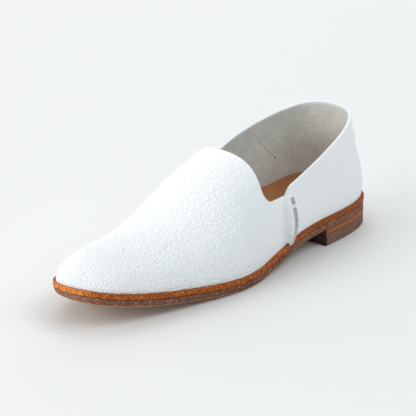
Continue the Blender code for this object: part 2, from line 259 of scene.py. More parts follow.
# Half of a thread bar's way over the cut edge: along the wall in half flanges, and outward.
TACK = table(("along", "out"), [
    (1.0, STITCH_OUT),
    (1.12, 3.4),
    (1.12, 4.5),
    (0.7, 4.95),
])

# How far a seam stands out, as a share of its full section, from foot to top.
PROUD = table(("share", "stretch"), [
    (0.0, 0.64),
    (0.12, 0.98),
    (0.35, 1.34),
    (0.65, 1.3),
    (0.85, 1.1),
    (1.0, 0.92),
])

# Soft troughs where the leather is drawn in beside a seam, with their half width.
TROUGHS = table(("station", "depth", "wide"), [
    (98.0, 0.2, 1.8),
    (110.0, 0.24, 1.8),
])
TROUGH_FADE = 9.0

# Rise of the insole's top face above its board, by station: higher at the heel, lower under the arch.
INSOLE_RISE = table(("station", "rise"), [
    (0.0, 2.3),
    (14.0, 2.2),
    (28.0, 0.7),
    (44.0, -1.6),
    (66.0, -1.7),
    (100.0, -0.8),
    (140.0, 0.0),
    (259.0, 0.0),
])

# Camera, from the outlines of the shoe in the photograph: angles in degrees, its distance,
# and how far right of and below the middle of its view the aim lies
CAMERA_TURN = 39.4
CAMERA_RISE = 19.08
CAMERA_FAR = 1305.0
CAMERA_AIM = (129.5, 0.0, 30.0)
AIM_RIGHT = 16.69
AIM_DOWN = 16.84
FOCAL_PIXELS = 1539.0
IMAGE_SIDE = 416.0
SENSOR = 36.0

# Framing of the one shoe: its middle, in pixels right of and below the photograph's middle,
# and the enlargement
MIDDLE_RIGHT = 18.5
MIDDLE_DOWN = 14.5
FRAME_ZOOM = 1.4


# Curves and sections, as in the part's own source
def even_steps(count):
    """Even steps from 0 to 1."""
    return np.linspace(0.0, 1.0, count)


def cubic(values, bend, step, i, t):
    """Cubic piece i of a line, at t past its start, from its values and second derivatives."""
    slope = (values[i + 1] - values[i]) / step - step * (2.0 * bend[i] + bend[i + 1]) / 6.0
    return values[i] + t * (slope + t * (bend[i] / 2.0 + t * (bend[i + 1] - bend[i]) / (6.0 * step)))


def spline(knots, values, at):
    """Natural cubic through a short table."""
    count = len(knots)
    step = np.diff(knots)
    matrix = np.eye(count)
    right = np.zeros(count)
    for i in range(1, count - 1):
        matrix[i, i - 1] = step[i - 1]
        matrix[i, i] = 2.0 * (step[i - 1] + step[i])
        matrix[i, i + 1] = step[i]
        rise = (values[i + 1] - values[i]) / step[i]
        right[i] = 6.0 * (rise - (values[i] - values[i - 1]) / step[i - 1])
    bend = np.linalg.solve(matrix, right)
    i = np.clip(np.searchsorted(knots, at) - 1, 0, count - 2)
    return cubic(values, bend, step[i], i, at - knots[i])


def closed_spline(points, count):
    """Closed cubic through points, sampled evenly in its own parameter."""
    points = np.asarray(points, dtype=float)
    total = len(points)
    ring = np.vstack([points, points[:1]])
    step = np.sqrt(np.hypot(*np.diff(ring, axis=0).T))
    knots = np.concatenate([[0.0], np.cumsum(step)])
    matrix = np.zeros((total, total))
    right = np.zeros((total, 2))
    for i in range(total):
        before = step[i - 1]
        after = step[i]
        nxt = (i + 1) % total
        matrix[i, i - 1] += before
        matrix[i, i] += 2.0 * (before + after)
        matrix[i, nxt] += after
        right[i] = 6.0 * ((points[nxt] - points[i]) / after - (points[i] - points[i - 1]) / before)
    bend = np.linalg.solve(matrix, right)
    bend = np.vstack([bend, bend[:1]])
    at = np.linspace(0.0, knots[-1], count, endpoint=False)
    i = np.clip(np.searchsorted(knots, at, side="right") - 1, 0, total - 1)
    return cubic(ring, bend, step[i][:, None], i, (at - knots[i])[:, None])


def smooth(t):
    t = np.clip(t, 0.0, 1.0)
    return t * t * (3.0 - 2.0 * t)


def sole_outline():
    """Closed plan outline, from the heel back along the lateral side."""
    station, lateral, medial = OUTLINE.values()
    points = [(0.0, HEEL_BACK_SIDE), *zip(station, lateral), (SOLE_LENGTH, TOE_TIP_SIDE)]
    points += zip(station[::-1], medial[::-1])
    return closed_spline(points, DENSE)


def inward(outline, distance):
    """Outline moved inward; distance is one value or one for each point."""
    along = np.roll(outline, -1, axis=0) - np.roll(outline, 1, axis=0)
    along = along / np.linalg.norm(along, axis=1)[:, None]
    normal = np.stack([along[:, 1], -along[:, 0]], axis=1)
    return outline + normal * np.broadcast_to(distance, len(outline))[:, None]


def two_sides(outline):
    """Split a closed outline into lateral and medial runs, both from heel back to toe tip."""
    back = int(np.argmin(outline[:, 0]))
    turned = np.roll(outline, -back, axis=0)
    tip = int(np.argmax(turned[:, 0]))
    return turned[: tip + 1], np.vstack([turned[tip:], turned[:1]])[::-1]


def run_length(points):
    return np.concatenate([[0.0], np.cumsum(np.hypot(*np.diff(points, axis=0).T))])


def points_at(points, run, at):
    """Points of a line at distances along it."""
    return np.stack([np.interp(at, run, points[:, 0]), np.interp(at, run, points[:, 1])], axis=-1)


def underside(station):
    """Height of the outsole's lower face above the floor."""
    knots, heights = SHANK.values()
    shank = spline(knots, heights, np.clip(station, knots[0], FLAT_START))
    height = np.where(station < FLAT_START, shank, 0.0)
    height = np.where(station < BREAST_STATION, HEEL_RISE, height)
    reach = np.maximum(station - FLAT_END, 0.0) / (SOLE_LENGTH - FLAT_END)
    return np.where(station > FLAT_END, TOE_SPRING * reach ** SPRING_POWER, height)


MIDSOLE_BASE = OUTSOLE_THICK + SOLE_GAP
FEATHER_BASE = MIDSOLE_BASE + MIDSOLE_THICK + SOLE_GAP
INSOLE_BASE = FEATHER_BASE + WALL + SOLE_GAP
LIFT_BASE = HEEL_RISE - SOLE_GAP - LIFT_THICK
EDGE = sole_outline()
FEATHER = inward(EDGE, WELT)
LATERAL, MEDIAL = two_sides(FEATHER)
LATERAL_RUN = run_length(LATERAL)
MEDIAL_RUN = run_length(MEDIAL)

# Where the sole's own frame lies in the part's frame
MIDSOLE_LOW, MIDSOLE_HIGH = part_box("midsole")
PLAN_MIDDLE = 0.5 * (EDGE.min(axis=0) + EDGE.max(axis=0))
PLAN_SHIFT = PLAN_MIDDLE - 0.5 * np.array((MIDSOLE_LOW + MIDSOLE_HIGH)[:2]) / MM


def to_frame(points):
    """Millimetres in the sole's frame to metres in the part's frame."""
    points = np.array(points, dtype=float)
    points[..., :2] -= PLAN_SHIFT
    return points * MM


def feather_height(station):
    return underside(station) + FEATHER_BASE


def side_run(side):
    return (LATERAL, LATERAL_RUN) if side > 0 else (MEDIAL, MEDIAL_RUN)


def along_side(side, around):
    """Feather point at a distance from the heel back; side is +1 lateral, -1 medial."""
    points, run = side_run(side)
    return points_at(points, run, around)


def around_at(side, station):
    points, run = side_run(side)
    return float(np.interp(station, points[:, 0], run))


def run_end(side):
    return side_run(side)[1][-1]


def side_normal(side, around):
    """Inward plan normal of the feather line."""
    along = along_side(side, around + 1.0) - along_side(side, np.maximum(around - 1.0, 0.0))
    along[..., 0] *= np.minimum(around, 1.0) * np.clip(run_end(side) - around, 0.0, 1.0)
    along = along / np.linalg.norm(along, axis=-1)[..., None]
    return np.stack([along[..., 1], -along[..., 0]], axis=-1) * side


def ridge(station):
    """Sideways place and height of the vamp's top line."""
    return [spline(RIDGE["station"], RIDGE[name], station) for name in ("side", "height")]


def fullness(side, station):
    knots = RIDGE["station"]
    name = "lateral_full" if side > 0 else "medial_full"
    return spline(knots, RIDGE[name], np.maximum(station, knots[0]))


def belly(rise, share):
    """Outward swell of the side wall, gone at the toe tip."""
    up = np.sin(np.pi * np.clip(rise / BELLY_REACH, 0.0, 1.0))
    return SIDE_BELLY * up * np.sin(np.pi * (BELLY_START + (1.0 - BELLY_START) * share))


def vamp_point(side, share, climb):
    """Vamp surface: share runs from the notch line to the toe tip, climb from feather (0) to ridge (1)."""
    start = around_at(side, NOTCH_STATION)
    foot = along_side(side, start + (run_end(side) - start) * share)
    top = NOTCH_STATION + (RIDGE_END - NOTCH_STATION) * (1.0 - (1.0 - share) ** RIDGE_POWER)
    top_side, top_height = ridge(top)
    power = 2.0 / fullness(side, top)
    turn = climb * np.pi / 2.0
    plan = 1.0 - np.maximum(np.cos(turn), 0.0) ** power
    rise = np.sin(turn) ** power
    base = feather_height(foot[..., 0])
    x = foot[..., 0] + (top - foot[..., 0]) * plan
    y = foot[..., 1] + (top_side - foot[..., 1]) * plan + side * belly(rise, share)
    z = base + (top_height - base) * rise
    return np.stack([x, y, z], axis=-1)


def wall_heights(base, top):
    """Heights of the wall rows from the feather line to the top edge, the last one a narrow band."""
    even = base[:, None] + (top - RIM_BAND - base)[:, None] * even_steps(WALL_ROWS - 1)
    return np.column_stack([even, top])


def notch_climbs(side):
    """Climb values of the wall rows below the notch."""
    top_height = float(ridge(NOTCH_STATION)[1])
    base = float(feather_height(NOTCH_STATION))
    height = wall_heights(np.array([base]), np.array([NOTCH_HEIGHT]))[0]
    rise = (height - base) / (top_height - base)
    return np.arcsin(rise ** (fullness(side, NOTCH_STATION) / 2.0)) * 2.0 / np.pi


def throat_share(side, climb):
    """How far the vamp's rear edge lies ahead of the notch line."""
    start = notch_climbs(side)[-1]
    root = np.sqrt(np.clip((climb - start) / (1.0 - start), 0.0, 1.0))
    knots, moved = THROAT.values()
    knots = np.concatenate([knots, 2.0 - knots[-2:0:-1]])
    moved = np.concatenate([moved, moved[-2:0:-1]])
    forward = spline(knots, moved, root)
    length = 0.5 * (LATERAL_RUN[-1] + MEDIAL_RUN[-1])
    length -= 0.5 * (around_at(1, NOTCH_STATION) + around_at(-1, NOTCH_STATION))
    return np.where(climb <= start, 0.0, forward / length)


def vamp_grid(side):
    low = notch_climbs(side)
    high = low[-1] + (1.0 - low[-1]) * even_steps(VAMP_UP)[1:] ** UP_EASE
    climb = np.concatenate([low, high])
    rear = throat_share(side, climb)
    share = rear + (1.0 - rear) * even_steps(VAMP_ROWS)[:, None]
    return vamp_point(side, share, np.broadcast_to(climb, share.shape)), share


def collar_height(side, around):
    knots, lateral, medial = COLLAR.values()
    whole = np.concatenate([-knots[:0:-1], knots])
    heights = np.concatenate([medial[:0:-1], lateral])
    line = spline(whole, heights, side * np.minimum(around, knots[-1]))
    corner = around_at(side, CORNER_STATION)
    notch = around_at(side, NOTCH_STATION)
    from_notch = np.clip((notch - around) / (notch - corner), 0.0, 1.0)
    ledge = NOTCH_HEIGHT + (SEAM_HEIGHT - NOTCH_HEIGHT) * from_notch
    drop = np.clip((around - (corner - SEAM_CORNER)) / SEAM_CORNER, 0.0, 1.0) ** CORNER_POWER
    return line * (1.0 - drop) + ledge * drop


def wall_point(side, around, height):
    """Quarter surface at a distance round the feather line and a height above the floor."""
    foot = along_side(side, around)
    notch = around_at(side, NOTCH_STATION)
    back_share = smooth((notch - around) / (notch - BLEND_AROUND))
    across = np.stack([np.zeros_like(around), -side * np.ones_like(around)], axis=-1)
    normal = side_normal(side, around)
    way = across * (1.0 - back_share)[..., None] + normal * back_share[..., None]
    way = way / np.linalg.norm(way, axis=-1)[..., None]
    base = feather_height(foot[..., 0])
    above = np.maximum(height - base, 0.0)
    top_side, top_height = ridge(foot[..., 0])
    full = fullness(side, foot[..., 0])
    rise = np.clip(above / (top_height - base), 0.0, RISE_LIMIT)
    vamp_shift = np.abs(foot[..., 1] - top_side) * (1.0 - (1.0 - rise ** full) ** (1.0 / full))
    vamp_shift = vamp_shift - belly(rise, 0.0)
    knots = LEAN["height"]
    back_lean = spline(knots, LEAN["back"], above)
    side_lean = spline(knots, LEAN["lateral" if side > 0 else "medial"], above)
    to_side = smooth(around / BACK_AROUND)
    heel_shift = back_lean * (1.0 - to_side) + side_lean * to_side
    shift = vamp_shift * (1.0 - back_share) + heel_shift * back_share
    plan = foot + way * shift[..., None]
    return np.concatenate([plan, height[..., None]], axis=-1), way


def quarter_rows(side):
    """Distances round the feather line, closer together at the heel and at the seam corner."""
    corner = around_at(side, CORNER_STATION)
    notch = around_at(side, NOTCH_STATION)
    rear = (corner - SEAM_CORNER) * even_steps(QUARTER_ROWS) ** REAR_EASE
    turn = np.linspace(corner - SEAM_CORNER, corner, CORNER_ROWS)[1:]
    ledge = np.linspace(corner, notch, LEDGE_ROWS)[1:]
    return np.concatenate([rear, turn, ledge])


def trough_depth(station, above_foot, below_top):
    """Inward depth of the troughs beside a seam, fading out at the feather line and at the top edge."""
    depth = np.zeros_like(station)
    for middle, deep, wide in zip(*TROUGHS.values()):
        depth += deep * np.exp(-((station - middle) / wide) ** 2)
    return depth * smooth(above_foot / TROUGH_FADE) * smooth(below_top / TROUGH_FADE)


def quarter_grid(side):
    around = quarter_rows(side)
    base = feather_height(along_side(side, around)[:, 0])
    top = collar_height(side, around)
    height = wall_heights(base, top)
    points, way = wall_point(side, np.repeat(around[:, None], WALL_ROWS, axis=1), height)
    depth = trough_depth(points[..., 0], height - base[:, None], top[:, None] - height)
    points[..., :2] += way * depth[..., None]
    return points, around


def margin_row(side, around, distance):
    """Lasting margin: feather points moved inward over the sole."""
    foot = along_side(side, around)
    inner = foot + side_normal(side, around) * distance
    return np.concatenate([inner, feather_height(inner[..., 0])[..., None]], axis=-1)


# Places of the two colours and of the result among a mix node's sockets
MIX_COLOURS = (6, 7)
MIX_RESULT = 2


# Shader helpers: the id_data of a socket or node is the tree that it is in
def set_inputs(node, values):
    """Values for a node's input sockets, with _ for a space in a socket's name."""
    for key, value in values.items():
        node.inputs[key.replace("_", " ")].default_value = value


def add_node(tree, kind, **values):
    node = tree.nodes.new(kind)
    set_inputs(node, values)
    return node


def new_material(name, colour, **values):
    """Principled material; returns it with its node tree and shader."""
    made = bpy.data.materials.new(name)
    made.use_nodes = True
    shader = made.node_tree.nodes["Principled BSDF"]
    shader.inputs["Base Color"].default_value = (*colour, 1.0)
    set_inputs(shader, values)
    return made, made.node_tree, shader


def place_in(tree, scale=(1.0, 1.0, 1.0)):
    """Object coordinates in metres, stretched."""
    coords = add_node(tree, "ShaderNodeTexCoord")
    mapping = add_node(tree, "ShaderNodeMapping", Scale=scale)
    tree.links.new(coords.outputs["Object"], mapping.inputs["Vector"])
    return mapping.outputs["Vector"]


def place_axes(tree):
    """Sockets X, Y and Z of a place, in metres in the part's frame."""
    split = tree.nodes.new("ShaderNodeSeparateXYZ")
    tree.links.new(place_in(tree), split.inputs["Vector"])
    return split.outputs


def noise(vector, scale, detail=3.0, roughness=0.55, output="Fac"):
    tree = vector.id_data
    made = add_node(tree, "ShaderNodeTexNoise", Scale=scale, Detail=detail, Roughness=roughness)
    tree.links.new(vector, made.inputs["Vector"])
    return made.outputs[output]


def remap(value, low, high, to_low=0.0, to_high=1.0):
    """Smooth step of a value into a new range."""
    tree = value.id_data
    made = add_node(tree, "ShaderNodeMapRange", From_Min=low, From_Max=high, To_Min=to_low, To_Max=to_high)
    made.interpolation_type = "SMOOTHSTEP"
    tree.links.new(value, made.inputs["Value"])
    return made.outputs["Result"]


def blend(share, first, second):
    """Mix of two colours, each a tuple or a socket."""
    tree = share.id_data
    made = tree.nodes.new("ShaderNodeMix")
    made.data_type = "RGBA"
    tree.links.new(share, made.inputs[0])
    for place, colour in zip(MIX_COLOURS, (first, second)):
        if isinstance(colour, tuple):
            made.inputs[place].default_value = (*colour, 1.0)
        else:
            tree.links.new(colour, made.inputs[place])
    return made.outputs[MIX_RESULT]


def maths(kind, first, second):
    """Math node on a socket and a socket or number."""
    tree = first.id_data
    made = tree.nodes.new("ShaderNodeMath")
    made.operation = kind
    for place, value in enumerate((first, second)):
        if isinstance(value, float):
            made.inputs[place].default_value = value
        else:
            tree.links.new(value, made.inputs[place])
    return made.outputs["Value"]


def times(first, second):
    return maths("MULTIPLY", first, second)


def dress(shader, shade, height, strength, depth):
    """Link a material's colour and the bump of its surface, its depth in millimetres."""
    tree = shader.id_data
    made = add_node(tree, "ShaderNodeBump", Strength=strength, Distance=depth * MM)
    tree.links.new(height, made.inputs["Height"])
    tree.links.new(made.outputs["Normal"], shader.inputs["Normal"])
    tree.links.new(shade, shader.inputs["Base Color"])


def station_x(station):
    """X in the part's frame, in metres, of a station in millimetres."""
    return float((station - PLAN_SHIFT[0]) * MM)


# Materials: colours are linear. A noise is its scale per metre, detail and roughness,
# and a span is the range of values over which one colour turns into the next.

# White grain: size, depth and shape of its pebbles, and where it fades to the quarter, in metres along X
PEBBLE_SIZE = 1.8
PEBBLE_DEPTH = 0.44
PEBBLE_LONG = 1.3
PEBBLE_REACH = 0.75
PEBBLE_RANDOM = 0.65
PEBBLE_SOFT = 0.16
PEBBLE_WARP = 0.08
WARP_SIZE = 1.6
PORE_NOISE = (1500.0, 3.0)
PORE_SHARE = 0.03
SKIN_AXIS = (-1.0, 12.0)
SKIN_RADIUS = 32.0
SKIN_FRONT = 0.5
GRAIN_FADE = (-0.035, 0.02)
QUARTER_GRAIN = 0.2
GLOSS_SPAN = (0.2, 0.8)
GLOSS_ROUGH = (0.52, 0.4)
# Painted shade in the valleys between pebbles: where it starts, its greatest share and its colour
VALLEY_SHADE_FROM = 0.45
VALLEY_SHADE_SHARE = 0.5
WHITE = (0.893, 0.912, 0.922)
VALLEY_SHADE_WHITE = (0.835, 0.857, 0.871)


def skin_place(tree):
    """Place on the upper as length and turn round the shoe's long axis, both in metres, with its X."""
    axes = place_axes(tree)
    aside = maths("SUBTRACT", axes["Y"], float((SKIN_AXIS[0] - PLAN_SHIFT[1]) * MM))
    above = maths("SUBTRACT", axes["Z"], SKIN_AXIS[1] * MM)
    squares = maths("ADD", times(aside, aside), times(above, above))
    far = maths("SQRT", squares, 0.0)
    length = maths("SUBTRACT", axes["X"], times(far, SKIN_FRONT))
    length = maths("DIVIDE", length, PEBBLE_LONG)
    turn = times(maths("ARCTAN2", aside, above), SKIN_RADIUS * MM)
    joined = tree.nodes.new("ShaderNodeCombineXYZ")
    tree.links.new(length, joined.inputs["X"])
    tree.links.new(turn, joined.inputs["Y"])
    return joined.outputs["Vector"], axes["X"]


def grain_leather():
    """White full-grain leather: soft domed pebbles, fainter on the quarter, with fine pores and painted shade
    in the valleys between the pebbles.
    """
    made, tree, shader = new_material("white_grain_leather", WHITE, Roughness=0.44, Specular_IOR_Level=0.42,
                                      Coat_Weight=0.08, Coat_Roughness=0.3)
    size = PEBBLE_SIZE * MM
    vector, x = skin_place(tree)
    warp = noise(vector, 1.0 / (WARP_SIZE * size), detail=1.0, output="Color")
    warped = tree.nodes.new("ShaderNodeVectorMath")
    warped.operation = "MULTIPLY_ADD"
    tree.links.new(warp, warped.inputs[0])
    warped.inputs[1].default_value = (PEBBLE_WARP * size,) * 3
    tree.links.new(vector, warped.inputs[2])
    cells = tree.nodes.new("ShaderNodeTexVoronoi")
    cells.voronoi_dimensions = "2D"
    cells.feature = "SMOOTH_F1"
    set_inputs(cells, {"Scale": 1.0 / size, "Randomness": PEBBLE_RANDOM, "Smoothness": PEBBLE_SOFT})
    tree.links.new(warped.outputs["Vector"], cells.inputs["Vector"])
    away = cells.outputs["Distance"]
    domes = remap(away, 0.0, PEBBLE_REACH, 1.0, 0.0)
    pores = times(noise(place_in(tree), *PORE_NOISE), PORE_SHARE)
    fade = remap(x, *GRAIN_FADE, QUARTER_GRAIN, 1.0)
    height = times(maths("ADD", domes, pores), fade)
    # Painted shade: the valleys between pebbles are darkened
    valley_shade = remap(away, VALLEY_SHADE_FROM, PEBBLE_REACH, 0.0, VALLEY_SHADE_SHARE)
    tree.links.new(remap(domes, *GLOSS_SPAN, *GLOSS_ROUGH), shader.inputs["Roughness"])
    dress(shader, blend(valley_shade, WHITE, VALLEY_SHADE_WHITE), height, strength=1.0, depth=PEBBLE_DEPTH)
    return made


# Flesh side, with a crease and a pinhole in the suede of the medial wall, both darkened with painted shade.
# The limit of that side, along Y, and the pinhole's radii are in metres.
FLESH_LOW = (0.66, 0.68, 0.645)
FLESH_HIGH = (0.76, 0.78, 0.745)
MOTTLE_NOISE = (95.0, 4.0, 0.6)
MOTTLE_SPAN = (0.32, 0.68)
NAP_TINT = (0.51, 0.515, 0.475)
NAP_NOISE = (850.0, 3.0, 0.7)
NAP_SPAN = (0.38, 0.64)
NAP_SHARE = 0.6
CREASE_OFFSET = -3.4
CREASE_WIDE = 0.8
CREASE_RUN = (60.0, 110.0)
CREASE_FADE = 14.0
CREASE_SIDE = (-0.004, -0.001)
CREASE_NOISE = (180.0, 2.0)
CREASE_SWING = 2.0
CREASE_SHADE_SHARE = 0.24
CREASE_DEEP = 1.5
CREASE_SHADE_TINT = (0.30, 0.28, 0.24)
HOLE_PLACE = (33.6, -22.8, 37.5)
HOLE_RADII = (0.0004, 0.00095)
HOLE_SHADE_TINT = (0.15, 0.14, 0.125)


def crease_share(tree):
    """One along a slanting line on the medial wall, where station less height is constant."""
    axes = place_axes(tree)
    swing = maths("SUBTRACT", noise(place_in(tree), *CREASE_NOISE), 0.5)
    away = maths("SUBTRACT", maths("SUBTRACT", axes["X"], axes["Z"]), station_x(CREASE_OFFSET))
    away = maths("ADD", away, times(swing, CREASE_SWING * MM))
    line = remap(maths("ABSOLUTE", away, 0.0), 0.0, CREASE_WIDE * MM, 1.0, 0.0)
    medial = remap(axes["Y"], *CREASE_SIDE, 1.0, 0.0)
    run = maths("ADD", axes["X"], axes["Z"])
    first, last = map(station_x, CREASE_RUN)
    start = remap(run, first, first + CREASE_FADE * MM)
    end = remap(run, last - CREASE_FADE * MM, last, 1.0, 0.0)
    return times(times(line, medial), times(start, end))


def hole_share(tree):
    """One inside a small pinhole."""
    away = tree.nodes.new("ShaderNodeVectorMath")
    away.operation = "DISTANCE"
    tree.links.new(place_in(tree), away.inputs[0])
    away.inputs[1].default_value = to_frame(HOLE_PLACE)
    return remap(away.outputs["Value"], *HOLE_RADII, 1.0, 0.0)


def flesh_leather():
    """Raw flesh side inside the upper: greige nap with soft mottling."""
    made, tree, shader = new_material("flesh_side", FLESH_LOW, Roughness=0.95, Specular_IOR_Level=0.15,
                                      Sheen_Weight=0.25, Sheen_Roughness=0.6)
    vector = place_in(tree)
    mottle = remap(noise(vector, *MOTTLE_NOISE), *MOTTLE_SPAN)
    nap = noise(vector, *NAP_NOISE)
    crease = crease_share(tree)
    shade = blend(mottle, FLESH_LOW, FLESH_HIGH)
    shade = blend(remap(nap, *NAP_SPAN, 0.0, NAP_SHARE), shade, NAP_TINT)
    # Painted shade: the crease line and the pinhole are darkened
    shade = blend(times(crease, CREASE_SHADE_SHARE), shade, CREASE_SHADE_TINT)
    shade = blend(hole_share(tree), shade, HOLE_SHADE_TINT)
    height = maths("SUBTRACT", nap, times(crease, CREASE_DEEP))
    dress(shader, shade, height, strength=0.6, depth=0.5)
    return made


# Cut edges of the white leather; those of the seams are darker and pale at the foot, in metres up
CUT_SPAN = (0.3, 0.7)
PALE_FOOT = (0.016, 0.03)
PALE_FOOT_SHARE = 0.6
PALE_FOOT_TINT = (0.70, 0.74, 0.72)


def cut_leather(name, low, high, fibre_scale, pale_foot=False, **values):
    """Raw cut edge: grey fibre of two tones."""
    made, tree, shader = new_material(name, low, **values)
    fibre = noise(place_in(tree), fibre_scale, detail=3.0, roughness=0.65)
    shade = blend(remap(fibre, *CUT_SPAN), low, high)
    if pale_foot:
        near_foot = remap(place_axes(tree)["Z"], *PALE_FOOT, PALE_FOOT_SHARE, 0.0)
        shade = blend(near_foot, shade, PALE_FOOT_TINT)
    dress(shader, shade, fibre, strength=0.4, depth=0.3)
    return made


# Sole edges: the toe tip's painted light and the heel end's colour change, placed in metres along X;
# the last span of each three is that of darker clouds, with their least and greatest share
LIT_TOE_PLACE = (0.122, 0.13)
HEEL_END_PLACE = (-0.045, -0.015)
LIT_TOE_SPAN = (0.38, 0.6)
LIT_TOE_BRIGHT = 1.2
FIBRE_STRETCH = (1.0, 1.0, 0.55)
PATCH_NOISE = (85.0, 3.0, 0.6)
LEATHER_SPANS = ((0.4, 0.52), (0.54, 0.66), (0.45, 0.75, 0.0, 0.4))
SPECK_NOISE = (640.0, 3.0, 0.75)
CLOUD_NOISE = (120.0, 3.0, 0.6)
RUBBER_SPANS = ((0.4, 0.5), (0.55, 0.66), (0.35, 0.7, 0.0, 0.35))


def three_tones(specks, clouds, spans, dark, middle, pale):
    """Dark, middle and pale tones by the specks of one noise, darker in the clouds of another."""
    shade = blend(remap(specks, *spans[0]), dark, middle)
    shade = blend(remap(specks, *spans[1]), shade, pale)
    return blend(remap(clouds, *spans[2]), shade, dark)


def lit_toe_and_heel_tone(shade, lit_toe_colour, lit_toe_share, heel_colour, heel_share):
    """Colour turned into a paler painted-light colour towards the toe tip, and into another colour towards
    the heel.
    """
    x = place_axes(shade.id_data)["X"]
    shade = blend(remap(x, *LIT_TOE_PLACE, 0.0, lit_toe_share), shade, lit_toe_colour)
    return blend(remap(x, *HEEL_END_PLACE, heel_share, 0.0), shade, heel_colour)


def raw_sole_leather(name, dark, middle, pale, fibre_size, strength):
    """Rust-coloured sole leather with a raw, fibrous edge, with painted light at the toe and turning darker
    towards the heel.
    """
    made, tree, shader = new_material(name, middle, Roughness=0.8, Specular_IOR_Level=0.12, Sheen_Weight=0.05)
    fibre = noise(place_in(tree, FIBRE_STRETCH), 1.0 / (fibre_size * MM), detail=4.0, roughness=0.68)
    patches = noise(place_in(tree), *PATCH_NOISE)
    shade = three_tones(fibre, patches, LEATHER_SPANS, dark, middle, pale)
    # Painted light at the toe tip: a brighter copy of the pale tone; the heel end turns darker
    bright = tuple(min(1.0, LIT_TOE_BRIGHT * part) for part in pale)
    lit_toe = blend(remap(fibre, *LIT_TOE_SPAN), middle, bright)
    shade = lit_toe_and_heel_tone(shade, lit_toe_colour=lit_toe, lit_toe_share=0.85, heel_colour=dark, heel_share=0.4)
    dress(shader, shade, fibre, strength, depth=0.6)
    return made


def speckled_rubber(name, dark, middle, pale):
    """Grey-brown sole compound with small pale and dark specks."""
    made, tree, shader = new_material(name, middle, Roughness=0.82, Specular_IOR_Level=0.15)
    vector = place_in(tree)
    specks = noise(vector, *SPECK_NOISE)
    clouds = noise(vector, *CLOUD_NOISE)
    shade = three_tones(specks, clouds, RUBBER_SPANS, dark, middle, pale)
    # Painted light: paler towards the toe tip; also paler towards the heel
    shade = lit_toe_and_heel_tone(shade, lit_toe_colour=pale, lit_toe_share=0.3, heel_colour=pale, heel_share=0.12)
    dress(shader, shade, specks, strength=0.45, depth=0.5)
    return made


# Insole and thread
INSOLE_LOW = (0.38, 0.145, 0.046)
INSOLE_HIGH = (0.46, 0.18, 0.06)
INSOLE_NOISE = (45.0, 4.0, 0.6)
INSOLE_SPAN = (0.3, 0.7)
INSOLE_PORES = (1300.0, 2.0)
THREAD_LOW = (0.80, 0.79, 0.755)
THREAD_HIGH = (0.90, 0.90, 0.885)
PLY_NOISE = (2200.0, 2.0)


def insole_leather():
    """Smooth tan-brown leather with faint pores."""
    made, tree, shader = new_material("insole_leather", INSOLE_LOW, Roughness=0.5, Specular_IOR_Level=0.35)
    vector = place_in(tree)
    cloud = remap(noise(vector, *INSOLE_NOISE), *INSOLE_SPAN)
    pores = noise(vector, *INSOLE_PORES)
    dress(shader, blend(cloud, INSOLE_LOW, INSOLE_HIGH), pores, strength=0.25, depth=0.3)
    return made


def thread():
    """White waxed thread."""
    made, tree, shader = new_material("thread", THREAD_LOW, Roughness=0.55, Specular_IOR_Level=0.35)
    ply = noise(place_in(tree), *PLY_NOISE)
    dress(shader, blend(ply, THREAD_LOW, THREAD_HIGH), ply, strength=0.3, depth=0.2)
    return made


GRAIN = grain_leather()
FLESH = flesh_leather()
CUT = cut_leather("cut_edge", low=(0.72, 0.765, 0.75), high=(0.84, 0.885, 0.87), fibre_scale=900.0,
                  Roughness=0.85, Specular_IOR_Level=0.2)
SEAM_CUT = cut_leather("seam_cut_edge", low=(0.32, 0.365, 0.35), high=(0.46, 0.505, 0.485), fibre_scale=700.0,
                       pale_foot=True, Roughness=0.8, Specular_IOR_Level=0.25)
RUST = raw_sole_leather("rust_sole_leather", dark=(0.21, 0.046, 0.009), middle=(0.45, 0.108, 0.018),
                        pale=(0.84, 0.33, 0.08), fibre_size=0.9, strength=0.9)
LIFT = raw_sole_leather("lift_leather", dark=(0.30, 0.098, 0.04), middle=(0.42, 0.15, 0.066),
                        pale=(0.54, 0.22, 0.105), fibre_size=0.8, strength=0.4)
COMPOUND = speckled_rubber("sole_compound", dark=(0.12, 0.052, 0.034), middle=(0.225, 0.10, 0.066),
                           pale=(0.46, 0.25, 0.155))
RIM = speckled_rubber("sole_lower_rim", dark=(0.34, 0.19, 0.10), middle=(0.48, 0.29, 0.165),
                      pale=(0.62, 0.41, 0.25))
TOP_LIFT = speckled_rubber("top_lift_compound", dark=(0.11, 0.056, 0.039), middle=(0.21, 0.11, 0.075),
                           pale=(0.38, 0.23, 0.155))
# The heel breast's near-black colour is painted shade
BREAST_PAINTED_SHADE = speckled_rubber("heel_breast_painted_shade", dark=(0.022, 0.012, 0.009), middle=(0.04, 0.023, 0.018),
                         pale=(0.07, 0.045, 0.035))
INSOLE = insole_leather()
THREAD = thread()


# Mesh helpers
def finish_mesh(name, bm, materials, node):
    """Merge, smooth and link a mesh; it rides on the one body and may stand for a CAD node."""
    bmesh.ops.remove_doubles(bm, verts=bm.verts, dist=MERGE * MM)
    bmesh.ops.dissolve_degenerate(bm, edges=bm.edges, dist=MERGE * MM * 0.5)
    bmesh.ops.recalc_face_normals(bm, faces=bm.faces)
    mesh = bpy.data.meshes.new(name)
    bm.to_mesh(mesh)
    bm.free()
    for used in materials:
        mesh.materials.append(used)
    mesh.shade_smooth()
    item = bpy.data.objects.new(name, mesh)
    bpy.context.scene.collection.objects.link(item)
    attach(item, "root")
    if node:
        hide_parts(node)
    return item


def add_grid(bm, grid, material=0, closed=False):
    """Quads over a grid of points; repeated points are merged later."""
    rows, cols = grid.shape[:2]
    verts = [[bm.verts.new(point) for point in row] for row in grid]
    for i in range(rows - 1):
        for j in range(cols if closed else cols - 1):
            n = (j + 1) % cols
            face = bm.faces.new((verts[i][j], verts[i + 1][j], verts[i + 1][n], verts[i][n]))
            face.material_index = material


